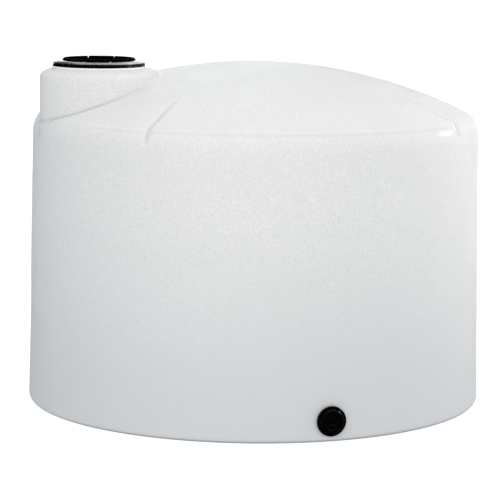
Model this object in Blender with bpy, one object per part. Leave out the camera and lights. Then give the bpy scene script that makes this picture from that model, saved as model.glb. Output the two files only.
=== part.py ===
"""Vertical storage tank: a moulded plastic shell with a domed top, an off-centre manway and a low outlet.

Metres, +Z up, origin at the centre of the underside. The outlet faces -Y and the manway lies towards -X.
Azimuths are measured from the front (-Y) and grow towards +X.
"""

import math

import bmesh
import bpy
from mathutils import Matrix, Vector

# Shell
FOOT_RADIUS = 1.105
WALL_TOP_RADIUS = 1.083
WALL_TOP_Z = 1.329
FOOT_FILLET = 0.025
SHOULDER_FILLET = 0.085
DOME_TOP_Z = 1.648
CROWN_RADIUS = 0.300
SKIN = 0.0065
GAP = 0.0004
WALL_SEGMENTS = 8
STEP_DEG = 4.5
INNERMOST_RADIUS = 0.100
UNDERSIDE_STEPS = 96

# Tie-down grooves, moulded into the dome on its four diagonals
GROOVE_DEPTH = 0.014
GROOVE_HALF_DEG = 2.4
GROOVE_INNER_RADIUS = 0.735
GROOVE_FULL_RADIUS = 0.960
GROOVE_FOOT_RISE = 0.020
GROOVE_COLUMNS_DEG = (0.5, 1.2)

# Manway neck
MANWAY_X = -0.787
NECK_RADIUS = 0.281
NECK_EDGE_Z = 1.6105
NECK_EDGE_FILLET = 0.0295
CONE_NORMAL_DEG = 68.5
CONE_TOP_RADIUS = 0.2235
CONE_TOP_Z = 1.6240
COLLAR_RADIUS = 0.2215
COLLAR_TOP_Z = 1.6343
COLLAR_BEVEL = 0.002
MOUTH_RADIUS = 0.1965
NECK_STEPS = 48
NECK_EDGE_STEPS = 4
NECK_BURIED = 0.050

# Threaded ring, screwed down on the collar
RING_RADIUS = 0.219
RING_FLANGE = 0.006
RING_EDGE = 0.001
RING_BARREL_RADIUS = 0.1955
RING_BORE_RADIUS = 0.1865
RING_BARREL_DROP = 0.034
RING_GASKET = 0.0015
RING_GASKET_INSET = 0.0015
RING_STEPS = 48
NOTCHES_DEG = (-5.0, 31.0)
NOTCH_WIDTH = 0.005
NOTCH_DEPTH = 0.004
SCREW_COUNT = 10
SCREW_CIRCLE = 0.2065
SCREW_PHASE_DEG = 13.0
SCREW_HEAD_RADIUS = 0.0048
SCREW_HEAD = 0.0030
SCREW_SHANK_RADIUS = 0.0022
SCREW_LENGTH = 0.022
SCREW_SIDES = 12

# Screw lid: a threaded skirt, a sloping rim and a recessed deck inside a castellated crown
LID_SEAL = 0.0020
LID_SEAL_INNER = 0.1872
LID_SEAL_OUTER = 0.1935
LID_RADIUS = 0.2175
LID_EDGE = 0.0038
LID_EDGE_FILLET = 0.0014
RIM_RADIUS = 0.193
RIM_RISE = 0.0135
CROWN_FOOT_RADIUS = 0.1745
CROWN_FOOT_RISE = 0.0165
CROWN_TOP_RADIUS = 0.168
CROWN_TOP_RISE = 0.0270
CROWN_THICKNESS = 0.012
CROWN_BEVEL = 0.0015
LUG_COUNT = 8
LUG_SLOT = 0.008
LUG_PHASE_DEG = -18.6
LID_SKIRT_RADIUS = 0.1810
LID_SKIRT_THICKNESS = 0.006
LID_SKIRT_DROP = 0.038
LID_PLATE = 0.006
RIB_WIDTH = 0.006
RIB_HEIGHT = 0.009
RIB_BURIED = 0.003
HUB_RADIUS = 0.046
HUB_HEIGHT = 0.006
VENT_HOLE_RADIUS = 0.014
LID_STEPS = 64

# Vent in the middle of the lid
VENT_CAP_RADIUS = 0.036
VENT_CAP_HEIGHT = 0.007
VENT_STEM_RADIUS = 0.0135
VENT_STEM_DROP = 0.018
VENT_STEPS = 24
VENT_BEVEL = 0.0045

# Outlet: a bulkhead fitting through the front wall
OUTLET_Z = 0.0995
OUTLET_HOLE_RADIUS = 0.0475
OUTLET_BARREL_RADIUS = 0.0440
OUTLET_BORE_RADIUS = 0.0385
OUTLET_FLANGE_RADIUS = 0.0695
OUTLET_FLANGE = 0.012
OUTLET_HUB_RADIUS = 0.0540
OUTLET_HUB = 0.014
OUTLET_BEVEL = 0.003
OUTLET_GASKET_RADIUS = 0.0660
OUTLET_GASKET = 0.004
OUTLET_INSIDE = 0.040
OUTLET_NUT_RADIUS = 0.0600
OUTLET_NUT = 0.018
OUTLET_INNER_GASKET = 0.006
OUTLET_STEPS = 32
OUTLET_CUTTER_LENGTH = 0.100
PLUG_RECESS = 0.004
PLUG_LENGTH = 0.040
PLUG_SOCKET_WIDTH = 0.030
PLUG_SOCKET_DEPTH = 0.016

# How far cutters run past what they cut
REACH = 0.010

RING_Z = COLLAR_TOP_Z + 2 * GAP + RING_GASKET
RING_TOP_Z = RING_Z + RING_FLANGE
LID_Z = RING_TOP_Z + 2 * GAP + LID_SEAL
LID_DECK_Z = LID_Z


def clear_scene():
    for obj in list(bpy.data.objects):
        bpy.data.objects.remove(obj)


def make_material(name, colour, roughness, metallic=0.0):
    material = bpy.data.materials.new(name)
    material.use_nodes = True
    shader = material.node_tree.nodes["Principled BSDF"]
    shader.inputs["Base Color"].default_value = (*colour, 1.0)
    shader.inputs["Roughness"].default_value = roughness
    shader.inputs["Metallic"].default_value = metallic
    return material


def add_object(name, bm, material, location=(0, 0, 0)):
    """Stores a bmesh as a new object, with its faces pointing out and its round sides shaded smooth."""
    bmesh.ops.recalc_face_normals(bm, faces=bm.faces)
    mesh = bpy.data.meshes.new(name)
    bm.to_mesh(mesh)
    bm.free()
    mesh.materials.append(material)
    mesh.shade_smooth()
    mesh.set_sharp_from_angle(angle=math.radians(30))
    obj = bpy.data.objects.new(name, mesh)
    obj.location = location
    bpy.context.scene.collection.objects.link(obj)
    return obj


def on_azimuth(radius, azimuth, z):
    return Vector((radius * math.sin(azimuth), -radius * math.cos(azimuth), z))


def arc(centre, radius, start_deg, end_deg, steps):
    """Points of an arc in the (radius, height) plane, both ends included."""
    points = []
    for i in range(steps + 1):
        angle = math.radians(start_deg + (end_deg - start_deg) * i / steps)
        points.append((centre[0] + radius * math.cos(angle), centre[1] + radius * math.sin(angle)))
    return points


def turned(outline, steps):
    """A bmesh turned about Z from a closed outline of (radius, height) points, which may touch the axis."""
    bm = bmesh.new()
    rings = []
    for radius, z in outline:
        if radius == 0:
            rings.append([bm.verts.new((0, 0, z))])
        else:
            rings.append([bm.verts.new(on_azimuth(radius, math.tau * i / steps, z)) for i in range(steps)])
    for ring, following in zip(rings, rings[1:] + rings[:1]):
        if len(ring) == 1 and len(following) == 1:
            continue
        for i in range(steps):
            j = (i + 1) % steps
            corners = [ring[i % len(ring)], ring[j % len(ring)]]
            corners += [following[j % len(following)], following[i % len(following)]]
            bm.faces.new(list(dict.fromkeys(corners)))
    return bm


def sector_shell(outer, inner):
    """A closed bmesh between two grids of points, rows by columns, joined round all four edges."""
    bm = bmesh.new()
    grids = [[[bm.verts.new(p) for p in row] for row in grid] for grid in (outer, inner)]
    last_row, last_column = len(outer) - 1, len(outer[0]) - 1
    for grid in grids:
        for row, above in zip(grid, grid[1:]):
            for c in range(last_column):
                bm.faces.new((row[c], row[c + 1], above[c + 1], above[c]))
    out, into = grids
    for r in (0, last_row):
        for c in range(last_column):
            bm.faces.new((out[r][c], out[r][c + 1], into[r][c + 1], into[r][c]))
    for c in (0, last_column):
        for r in range(last_row):
            bm.faces.new((out[r][c], out[r + 1][c], into[r + 1][c], into[r][c]))
    return bm


def boolean(obj, other, operation):
    """Joins or cuts obj with other, which stays as a hidden helper."""
    modifier = obj.modifiers.new(operation.title(), "BOOLEAN")
    modifier.object = other
    modifier.operation = operation
    other.hide_render = True
    other.display_type = "WIRE"


def wall_radius(z):
    """Outer radius of the straight wall, which tapers in a little as it rises."""
    share = (z - FOOT_FILLET) / (WALL_TOP_Z - FOOT_FILLET)
    return FOOT_RADIUS + (WALL_TOP_RADIUS - FOOT_RADIUS) * share


def dome_radius():
    """Radius of the sphere that meets the shoulder fillet smoothly and peaks at DOME_TOP_Z."""
    across = WALL_TOP_RADIUS - SHOULDER_FILLET
    rise = DOME_TOP_Z - WALL_TOP_Z
    return (across**2 + rise**2 - SHOULDER_FILLET**2) / (2 * (rise - SHOULDER_FILLET))


def shoulder_angle():
    """Angle above the horizon of the surface normal where the shoulder turns into the dome."""
    sphere = dome_radius()
    return math.atan2(WALL_TOP_Z - DOME_TOP_Z + sphere, WALL_TOP_RADIUS - SHOULDER_FILLET)


def shoulder_stations(steps):
    """(radius, height, normal angle) up the shoulder fillet."""
    top = shoulder_angle()
    centre = WALL_TOP_RADIUS - SHOULDER_FILLET
    stations = []
    for i in range(steps + 1):
        angle = top * i / steps
        radius = centre + SHOULDER_FILLET * math.cos(angle)
        stations.append((radius, WALL_TOP_Z + SHOULDER_FILLET * math.sin(angle), angle))
    return stations


def dome_stations(outer_angle, inner_radius, steps):
    """(radius, height, normal angle) up the dome, from a normal angle in to a radius."""
    sphere = dome_radius()
    inner_angle = math.acos(inner_radius / sphere)
    stations = []
    for i in range(steps + 1):
        angle = outer_angle + (inner_angle - outer_angle) * i / steps
        stations.append((sphere * math.cos(angle), DOME_TOP_Z - sphere + sphere * math.sin(angle), angle))
    return stations


def smooth(share):
    share = min(max(share, 0.0), 1.0)
    return share * share * (3 - 2 * share)


def groove_depth(radius, z, degrees_off):
    """How far the tie-down groove sinks below the plain dome, this far round from its centre line."""
    across = max(0.0, 1 - abs(degrees_off) / GROOVE_HALF_DEG)
    along = smooth((radius - GROOVE_INNER_RADIUS) / (GROOVE_FULL_RADIUS - GROOVE_INNER_RADIUS))
    foot = smooth((z - WALL_TOP_Z) / GROOVE_FOOT_RISE)
    return GROOVE_DEPTH * across**2 * along * foot


def foot_and_wall_stations():
    """(radius, height, normal angle) from the underside, round the foot and up the wall."""
    centre = FOOT_RADIUS - FOOT_FILLET
    stations = []
    for degrees in (-90, -60, -30, 0):
        angle = math.radians(degrees)
        radius = centre + FOOT_FILLET * math.cos(angle)
        stations.append((radius, FOOT_FILLET * (1 + math.sin(angle)), angle))
    stations.append((WALL_TOP_RADIUS, WALL_TOP_Z - GAP, 0.0))
    return stations


def build_wall(material):
    """Eight arcs of wall with the rounded foot. The first one faces the front and holds the outlet's hole."""
    span = 360 / WALL_SEGMENTS
    columns = round(span / STEP_DEG)
    segments = []
    for number in range(WALL_SEGMENTS):
        outer, inner = [], []
        for radius, z, normal in foot_and_wall_stations():
            inset = math.degrees(GAP / 2 / radius)
            start = number * span - span / 2
            degrees = [start + STEP_DEG * c for c in range(columns + 1)]
            degrees[0] += inset
            degrees[-1] -= inset
            inner_radius = radius - SKIN * math.cos(normal)
            inner_z = z - SKIN * math.sin(normal)
            outer.append([on_azimuth(radius, math.radians(d), z) for d in degrees])
            inner.append([on_azimuth(inner_radius, math.radians(d), inner_z) for d in degrees])
        segments.append(add_object(f"wall_segment_{number + 1}", sector_shell(outer, inner), material))
    front = segments[0]
    radius, half = OUTLET_HOLE_RADIUS, OUTLET_CUTTER_LENGTH / 2
    hole = turned([(0, -half), (radius, -half), (radius, half), (0, half)], OUTLET_STEPS)
    cutter = add_object("outlet_hole_cutter", facing_front(hole), material, (0, -FOOT_RADIUS, OUTLET_Z))
    boolean(front, cutter, "DIFFERENCE")


def build_floor(material):
    edge = FOOT_RADIUS - FOOT_FILLET - GAP
    steps = round(360 / STEP_DEG)
    add_object("tank_floor", turned([(0, 0), (edge, 0), (edge, SKIN), (0, SKIN)], steps), material)


def panel_columns():
    """Degrees from a panel's middle, closer together by the grooves at its two edges."""
    half = 45.0
    plain = [-half + STEP_DEG * i for i in range(round(2 * half / STEP_DEG) + 1)]
    near = [GROOVE_HALF_DEG, *GROOVE_COLUMNS_DEG]
    return sorted(plain + [half - d for d in near] + [d - half for d in near])


def build_dome(material):
    """Four panels between the tie-down grooves, round a plain crown. The left one holds the manway."""
    stations = shoulder_stations(4) + dome_stations(shoulder_angle(), CROWN_RADIUS + GAP, 8)[1:]
    panels = {}
    for name, middle in (("front", 0), ("right", 90), ("back", 180), ("left", 270)):
        outer, inner = [], []
        for radius, z, normal in stations:
            inset = math.degrees(GAP / 2 / radius)
            degrees = panel_columns()
            degrees[0] += inset
            degrees[-1] -= inset
            out_row, in_row = [], []
            for d in degrees:
                sink = groove_depth(radius, z, 45 - abs(d))
                for row, depth in ((out_row, sink), (in_row, sink + SKIN)):
                    at_radius = radius - depth * math.cos(normal)
                    row.append(on_azimuth(at_radius, math.radians(middle + d), z - depth * math.sin(normal)))
            outer.append(out_row)
            inner.append(in_row)
        panels[name] = add_object(f"dome_panel_{name}", sector_shell(outer, inner), material)
    crown_stations = dome_stations(math.acos(CROWN_RADIUS / dome_radius()), INNERMOST_RADIUS, 3)
    crown = [(r, z) for r, z, _ in crown_stations] + [(0, DOME_TOP_Z)]
    under = [(0, DOME_TOP_Z - SKIN)]
    under += [(r - SKIN * math.cos(n), z - SKIN * math.sin(n)) for r, z, n in reversed(crown_stations)]
    add_object("dome_crown", turned(crown + under, round(360 / STEP_DEG)), material)
    return panels


def neck_outline():
    """Outline of the manway neck: straight side, rounded edge, cone, then the collar and its flat top plate."""
    bottom = WALL_TOP_Z - NECK_BURIED
    plate_under = COLLAR_TOP_Z - SKIN
    edge_centre = (NECK_RADIUS - NECK_EDGE_FILLET, NECK_EDGE_Z - NECK_EDGE_FILLET)
    outline = [(NECK_RADIUS, bottom)]
    outline += arc(edge_centre, NECK_EDGE_FILLET, 0, CONE_NORMAL_DEG, NECK_EDGE_STEPS)
    outline += [(CONE_TOP_RADIUS, CONE_TOP_Z)]
    outline += [(COLLAR_RADIUS, COLLAR_TOP_Z - COLLAR_BEVEL), (COLLAR_RADIUS - COLLAR_BEVEL, COLLAR_TOP_Z)]
    outline += [(MOUTH_RADIUS, COLLAR_TOP_Z), (MOUTH_RADIUS, plate_under)]
    outline += [(COLLAR_RADIUS - SKIN, plate_under), (COLLAR_RADIUS - SKIN, CONE_TOP_Z - SKIN)]
    outline += arc(edge_centre, NECK_EDGE_FILLET - SKIN, CONE_NORMAL_DEG, 0, NECK_EDGE_STEPS)
    outline += [(NECK_RADIUS - SKIN, bottom)]
    return outline


def screw_places(z):
    for number in range(SCREW_COUNT):
        azimuth = math.radians(SCREW_PHASE_DEG + 360 * number / SCREW_COUNT)
        yield number + 1, Vector((MANWAY_X, 0, 0)) + on_azimuth(SCREW_CIRCLE, azimuth, z)


def screw_outline(slack):
    """Outline of a flat-headed screw below z = 0, or of its hole when it has slack."""
    head, shank = SCREW_HEAD_RADIUS + slack, SCREW_SHANK_RADIUS + slack
    foot = -SCREW_LENGTH - slack
    return [(0, foot), (shank, foot), (shank, -SCREW_HEAD - slack), (head, -slack), (head, slack), (0, slack)]


def screw_hole_cutter(material):
    """All the screw holes of the ring, gasket and collar as one helper."""
    bm = bmesh.new()
    hole = bpy.data.meshes.new("screw_hole")
    turned(screw_outline(GAP), SCREW_SIDES).to_mesh(hole)
    for _, place in screw_places(RING_TOP_Z):
        first = len(bm.verts)
        bm.from_mesh(hole)
        bm.verts.ensure_lookup_table()
        bmesh.ops.translate(bm, verts=bm.verts[first:], vec=place)
    return add_object("screw_hole_cutter", bm, material)


def build_manway(left_panel, white, black, rubber, steel):
    centre = (MANWAY_X, 0, 0)
    low, high, radius = WALL_TOP_Z - NECK_BURIED, DOME_TOP_Z + NECK_BURIED, NECK_RADIUS + GAP
    clearance = turned([(0, low), (radius, low), (radius, high), (0, high)], NECK_STEPS)
    boolean(left_panel, add_object("neck_clearance_cutter", clearance, white, centre), "DIFFERENCE")

    neck = add_object("manway_neck", turned(neck_outline(), NECK_STEPS), white, centre)
    stations = shoulder_stations(6) + dome_stations(shoulder_angle(), INNERMOST_RADIUS, 16)[1:]
    foot = WALL_TOP_Z - 2 * NECK_BURIED
    under_dome = [(0, foot), (WALL_TOP_RADIUS - SKIN, foot)]
    under_dome += [(r - SKIN * math.cos(n), z - SKIN * math.sin(n)) for r, z, n in stations]
    under_dome += [(0, DOME_TOP_Z - SKIN)]
    underside = add_object("under_dome_cutter", turned(under_dome, UNDERSIDE_STEPS), white)
    boolean(neck, underside, "DIFFERENCE")

    holes = screw_hole_cutter(steel)
    boolean(neck, holes, "DIFFERENCE")

    barrel_foot = RING_Z - RING_BARREL_DROP
    ring_outline = [(RING_RADIUS - RING_EDGE, RING_Z), (RING_RADIUS, RING_Z + RING_EDGE)]
    ring_outline += [(RING_RADIUS, RING_TOP_Z - RING_EDGE), (RING_RADIUS - RING_EDGE, RING_TOP_Z)]
    ring_outline += [(RING_BORE_RADIUS, RING_TOP_Z), (RING_BORE_RADIUS, barrel_foot)]
    ring_outline += [(RING_BARREL_RADIUS, barrel_foot), (RING_BARREL_RADIUS, RING_Z)]
    ring = add_object("manway_ring", turned(ring_outline, RING_STEPS), black, centre)
    boolean(ring, holes, "DIFFERENCE")
    notches = bmesh.new()
    low, high = RING_Z - REACH, RING_TOP_Z + REACH
    for degrees in NOTCHES_DEG:
        radial_bar(notches, degrees, RING_RADIUS - NOTCH_DEPTH, RING_RADIUS + REACH, NOTCH_WIDTH, low, high)
    boolean(ring, add_object("ring_notch_cutter", notches, black, centre), "DIFFERENCE")

    low, high = COLLAR_TOP_Z + GAP, RING_Z - GAP
    inner, outer = MOUTH_RADIUS + RING_GASKET_INSET, RING_RADIUS - RING_GASKET_INSET
    gasket_outline = [(inner, low), (outer, low), (outer, high), (inner, high)]
    gasket = add_object("ring_gasket", turned(gasket_outline, RING_STEPS), rubber, centre)
    boolean(gasket, holes, "DIFFERENCE")

    for number, place in screw_places(RING_TOP_Z):
        add_object(f"ring_screw_{number:02d}", turned(screw_outline(0), SCREW_SIDES), steel, place)


def radial_bar(bm, degrees, inner, outer, width, low, high):
    """Adds an upright bar that points at the axis, at this azimuth."""
    size = Matrix.Diagonal((width, outer - inner, high - low, 1))
    turn = Matrix.Rotation(math.radians(degrees), 4, "Z")
    place = Matrix.Translation((0, -(inner + outer) / 2, (low + high) / 2))
    bmesh.ops.create_cube(bm, size=1, matrix=turn @ place @ size)


def lid_outline():
    """Outline of the lid: threaded skirt, thin edge, sloping rim, crown, recessed deck and the vent's hub."""
    skirt_inside = LID_SKIRT_RADIUS - LID_SKIRT_THICKNESS
    skirt_foot = LID_Z - LID_SKIRT_DROP
    under_deck = LID_DECK_Z - LID_PLATE
    crown_top = LID_Z + CROWN_TOP_RISE
    crown_inside = CROWN_TOP_RADIUS - CROWN_THICKNESS
    outline = [(LID_SKIRT_RADIUS, skirt_foot), (LID_SKIRT_RADIUS, LID_Z), (LID_RADIUS, LID_Z)]
    edge_top = LID_Z + LID_EDGE
    outline += [(LID_RADIUS, edge_top), (LID_RADIUS - LID_EDGE_FILLET, edge_top + LID_EDGE_FILLET)]
    outline += [(RIM_RADIUS, LID_Z + RIM_RISE), (CROWN_FOOT_RADIUS, LID_Z + CROWN_FOOT_RISE)]
    outline += [(CROWN_TOP_RADIUS, crown_top - CROWN_BEVEL), (CROWN_TOP_RADIUS - CROWN_BEVEL, crown_top)]
    outline += [(crown_inside, crown_top), (crown_inside, LID_DECK_Z)]
    outline += [(HUB_RADIUS, LID_DECK_Z), (HUB_RADIUS, LID_DECK_Z + HUB_HEIGHT)]
    outline += [(VENT_HOLE_RADIUS, LID_DECK_Z + HUB_HEIGHT), (VENT_HOLE_RADIUS, under_deck)]
    outline += [(skirt_inside, under_deck), (skirt_inside, skirt_foot)]
    return outline


def build_lid(black, rubber, grey):
    """The lid and its seal hang from an empty on the lid's axis."""
    axis = bpy.data.objects.new("lid_axis", None)
    axis.location = (MANWAY_X, 0, 0)
    bpy.context.scene.collection.objects.link(axis)

    lid = add_object("lid", turned(lid_outline(), LID_STEPS), black)
    slots, ribs = bmesh.new(), bmesh.new()
    inside = CROWN_TOP_RADIUS - CROWN_THICKNESS
    for number in range(LUG_COUNT):
        middle = LUG_PHASE_DEG + 360 * number / LUG_COUNT
        between = middle + 180 / LUG_COUNT
        low, high = LID_Z + CROWN_FOOT_RISE + GAP, LID_Z + CROWN_TOP_RISE + REACH
        radial_bar(slots, between, inside - REACH, CROWN_FOOT_RADIUS, LUG_SLOT, low, high)
        low, high = LID_DECK_Z - RIB_BURIED, LID_DECK_Z + RIB_HEIGHT
        radial_bar(ribs, middle, HUB_RADIUS - RIB_BURIED, inside + RIB_BURIED, RIB_WIDTH, low, high)
    slot_cutter = add_object("lug_slot_cutter", slots, black)
    rib_helper = add_object("lid_rib_helper", ribs, black)
    boolean(lid, slot_cutter, "DIFFERENCE")
    boolean(lid, rib_helper, "UNION")

    low, high = RING_TOP_Z + GAP, LID_Z - GAP
    seal_outline = [(LID_SEAL_INNER, low), (LID_SEAL_OUTER, low)]
    seal_outline += [(LID_SEAL_OUTER, high), (LID_SEAL_INNER, high)]
    seal = add_object("lid_seal", turned(seal_outline, RING_STEPS), rubber)

    cap_low = LID_DECK_Z + HUB_HEIGHT + GAP
    cap_high = cap_low + VENT_CAP_HEIGHT
    vent_outline = [(0, cap_low - VENT_STEM_DROP), (VENT_STEM_RADIUS, cap_low - VENT_STEM_DROP)]
    vent_outline += [(VENT_STEM_RADIUS, cap_low), (VENT_CAP_RADIUS, cap_low)]
    vent_outline += [(VENT_CAP_RADIUS, cap_high - VENT_BEVEL), (VENT_CAP_RADIUS - VENT_BEVEL, cap_high)]
    vent_outline += [(0, cap_high)]
    vent = add_object("vent_cap", turned(vent_outline, VENT_STEPS), grey)

    for obj in (lid, slot_cutter, rib_helper, seal, vent):
        obj.parent = axis


def facing_front(bm):
    """Turns a bmesh made about Z so that its +Z end points at -Y."""
    bmesh.ops.rotate(bm, verts=bm.verts, matrix=Matrix.Rotation(math.pi / 2, 3, "X"))
    return bm


def wall_helper(name, offset, material):
    """A solid as wide as the tank round the outlet, this much larger or smaller than the wall's outside."""
    low, high = OUTLET_Z - OUTLET_FLANGE_RADIUS, OUTLET_Z + OUTLET_FLANGE_RADIUS
    outline = [(0, low), (wall_radius(low) + offset, low), (wall_radius(high) + offset, high), (0, high)]
    return add_object(name, turned(outline, round(360 / STEP_DEG)), material)


def build_outlet(black, rubber):
    """The bulkhead fitting. Heights along its own axis count outwards from the wall's surface."""
    wall_y = -wall_radius(OUTLET_Z)
    place = (0, wall_y, OUTLET_Z)
    face = OUTLET_GASKET + GAP
    flange_top = face + OUTLET_FLANGE
    hub_top = flange_top + OUTLET_HUB
    body = [(OUTLET_BORE_RADIUS, -OUTLET_INSIDE), (OUTLET_BARREL_RADIUS, -OUTLET_INSIDE)]
    body += [(OUTLET_BARREL_RADIUS, face), (OUTLET_FLANGE_RADIUS, face)]
    body += [(OUTLET_FLANGE_RADIUS, flange_top - OUTLET_BEVEL)]
    body += [(OUTLET_FLANGE_RADIUS - OUTLET_BEVEL, flange_top)]
    body += [(OUTLET_HUB_RADIUS, flange_top), (OUTLET_HUB_RADIUS, hub_top - OUTLET_BEVEL)]
    body += [(OUTLET_HUB_RADIUS - OUTLET_BEVEL, hub_top), (OUTLET_BORE_RADIUS, hub_top)]
    add_object("outlet_body", facing_front(turned(body, OUTLET_STEPS)), black, place)

    inner = OUTLET_HOLE_RADIUS
    gasket_outline = [(inner, -SKIN), (OUTLET_GASKET_RADIUS, -SKIN)]
    gasket_outline += [(OUTLET_GASKET_RADIUS, OUTLET_GASKET), (inner, OUTLET_GASKET)]
    gasket = add_object("outlet_gasket", facing_front(turned(gasket_outline, OUTLET_STEPS)), rubber, place)
    boolean(gasket, wall_helper("wall_outside_cutter", GAP, rubber), "DIFFERENCE")

    inner_face = -SKIN - OUTLET_INNER_GASKET
    inner_outline = [(inner, inner_face), (OUTLET_NUT_RADIUS, inner_face)]
    inner_outline += [(OUTLET_NUT_RADIUS, 0), (inner, 0)]
    inner_gasket = add_object(
        "outlet_inner_gasket", facing_front(turned(inner_outline, OUTLET_STEPS)), rubber, place
    )
    boolean(inner_gasket, wall_helper("wall_inside_helper", -SKIN - GAP, rubber), "INTERSECT")

    nut_face = inner_face - GAP
    nut = [(OUTLET_BARREL_RADIUS + GAP, nut_face - OUTLET_NUT), (OUTLET_NUT_RADIUS, nut_face - OUTLET_NUT)]
    nut += [(OUTLET_NUT_RADIUS, nut_face), (OUTLET_BARREL_RADIUS + GAP, nut_face)]
    add_object("outlet_nut", facing_front(turned(nut, OUTLET_STEPS)), black, place)

    plug_top = hub_top - PLUG_RECESS
    plug_foot = plug_top - PLUG_LENGTH
    radius = OUTLET_BORE_RADIUS - GAP
    plug_outline = [(0, plug_foot), (radius, plug_foot), (radius, plug_top), (0, plug_top)]
    plug = add_object("outlet_plug", facing_front(turned(plug_outline, OUTLET_STEPS)), black, place)
    socket = bmesh.new()
    size = Matrix.Diagonal((PLUG_SOCKET_WIDTH, 2 * PLUG_SOCKET_DEPTH, PLUG_SOCKET_WIDTH, 1))
    bmesh.ops.create_cube(socket, size=1, matrix=size)
    socket_place = (0, wall_y - plug_top, OUTLET_Z)
    boolean(plug, add_object("plug_socket_cutter", socket, black, socket_place), "DIFFERENCE")


def main():
    clear_scene()
    white = make_material("natural_polyethylene", (0.83, 0.85, 0.86), 0.45)
    black = make_material("black_polypropylene", (0.012, 0.012, 0.013), 0.40)
    rubber = make_material("black_rubber", (0.02, 0.02, 0.02), 0.75)
    grey = make_material("grey_vent_plastic", (0.03, 0.03, 0.032), 0.45)
    steel = make_material("stainless_steel", (0.62, 0.62, 0.60), 0.28, 1.0)
    build_wall(white)
    build_floor(white)
    panels = build_dome(white)
    build_manway(panels["left"], white, black, rubber, steel)
    build_lid(black, rubber, grey)
    build_outlet(black, rubber)


main()
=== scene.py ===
"""Looks of the vertical storage tank: one moulded skin with its manway, screw lid, threaded ring and outlet.

Metres, +Z up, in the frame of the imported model. Azimuths are degrees from the front (-Y), growing towards +X.
"""

from functools import cached_property, partialmethod
from math import asin, atan2, ceil, cos, inf, pi, radians, sin, sqrt, tan, tau

import bmesh
import bpy
import numpy as np
from mathutils import Matrix, Vector


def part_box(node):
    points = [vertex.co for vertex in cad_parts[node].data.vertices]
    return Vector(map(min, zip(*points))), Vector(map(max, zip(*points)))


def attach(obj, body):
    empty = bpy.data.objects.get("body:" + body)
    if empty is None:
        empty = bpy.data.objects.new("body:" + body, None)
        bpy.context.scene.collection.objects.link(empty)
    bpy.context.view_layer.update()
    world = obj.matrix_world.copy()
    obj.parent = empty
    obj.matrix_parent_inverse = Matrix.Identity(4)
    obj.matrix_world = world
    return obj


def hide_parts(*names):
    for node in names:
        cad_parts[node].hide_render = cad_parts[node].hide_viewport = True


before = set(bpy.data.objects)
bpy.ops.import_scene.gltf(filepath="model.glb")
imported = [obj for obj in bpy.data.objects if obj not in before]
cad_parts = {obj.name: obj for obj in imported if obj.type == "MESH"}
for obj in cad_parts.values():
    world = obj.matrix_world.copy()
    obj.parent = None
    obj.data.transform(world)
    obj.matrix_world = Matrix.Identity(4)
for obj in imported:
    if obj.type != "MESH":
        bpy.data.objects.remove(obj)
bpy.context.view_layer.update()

# Low and high corners of the nodes' boxes in the frame
_, SIDE_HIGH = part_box("wall_segment_3")
_, PANEL_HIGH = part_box("dome_panel_right")
_, CROWN_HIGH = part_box("dome_crown")
NECK_LOW, NECK_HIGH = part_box("manway_neck")
RING_LOW, RING_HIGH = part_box("manway_ring")
SCREW_LOW, SCREW_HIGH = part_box("ring_screw_01")
SEAL_LOW, SEAL_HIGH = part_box("lid_seal")
LID_LOW, LID_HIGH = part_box("lid")
VENT_LOW, VENT_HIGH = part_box("vent_cap")
BODY_LOW, BODY_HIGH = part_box("outlet_body")
NUT_LOW, NUT_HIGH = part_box("outlet_nut")
PLUG_LOW, PLUG_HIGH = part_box("outlet_plug")

# Gap between neighbouring solids, and how far a cutter reaches past what it cuts
GAP = 0.0004
REACH = 0.01

# Shell
SKIN = 0.0065
FOOT_RADIUS = SIDE_HIGH.x
FOOT_FILLET = 0.025
WALL_TOP_RADIUS = PANEL_HIGH.x
WALL_TOP_Z = SIDE_HIGH.z + GAP
SHOULDER_FILLET = 0.085
DOME_TOP_Z = CROWN_HIGH.z

# Tie-down grooves in the dome, on its four diagonals
GROOVE_DEPTH = 0.014
GROOVE_HALF_DEG = 1.8
GROOVE_SHIFT_DEG = -0.9
GROOVE_INNER_RADIUS = 0.735
GROOVE_FULL_RADIUS = 0.960
GROOVE_FOOT_RISE = 0.020

# The shoulder lies a little below the dome panels and meets them in a fine step
STEP_DEPTH = 0.0040
STEP_Z = 1.391
STEP_WIDTH = 0.006
STEP_FADE_Z = 1.345
STEP_FADE = 0.03

# Slow unevenness of the moulded wall: height, waves round, length of a wave down, phases
UNEVEN = ((0.0009, 3, 0.95, 1.3, 0.5), (0.0006, 5, 0.60, 0.4, 2.1), (0.0004, 9, 0.36, 2.2, 1.1))
UNEVEN_FREE = 0.25

# Manway neck
MANWAY = Vector(((LID_LOW.x + LID_HIGH.x) / 2, 0, 0))
MANWAY_DEG = -90.0
NECK_RADIUS = (NECK_HIGH.y - NECK_LOW.y) / 2
NECK_FOOT_Z = 1.250
NECK_EDGE_FILLET = 0.0295
CONE_SLOPE = radians(21.5)
CONE_TOP = (0.2235, 1.6240)
COLLAR_RADIUS = 0.2215
COLLAR_TOP_Z = NECK_HIGH.z
MOUTH_RADIUS = 0.1965
CREASE_BLEND = 0.006
INNER_BLEND = 0.020

# Fine groove where neck and tank meet, which runs out towards the middle of the tank, and painted shade along
# it
CREASE_DEPTH = 0.0050
CREASE_HALF_WIDTH = 0.0050
CREASE_OFFSET = 0.0060
CREASE_SHADE_HALF_WIDTH = 0.0100
CREASE_SHADE_FADE_X = (-0.10, 0.22)

# On its inner side, towards the middle of the tank, the edge of the neck stands a little higher. The sine of
# the azimuth about the neck says where that side starts, and over how much it grows to the full height
INNER_LIFT = 0.013
INNER_START = 0.15
INNER_GROWTH = 0.75
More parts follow.
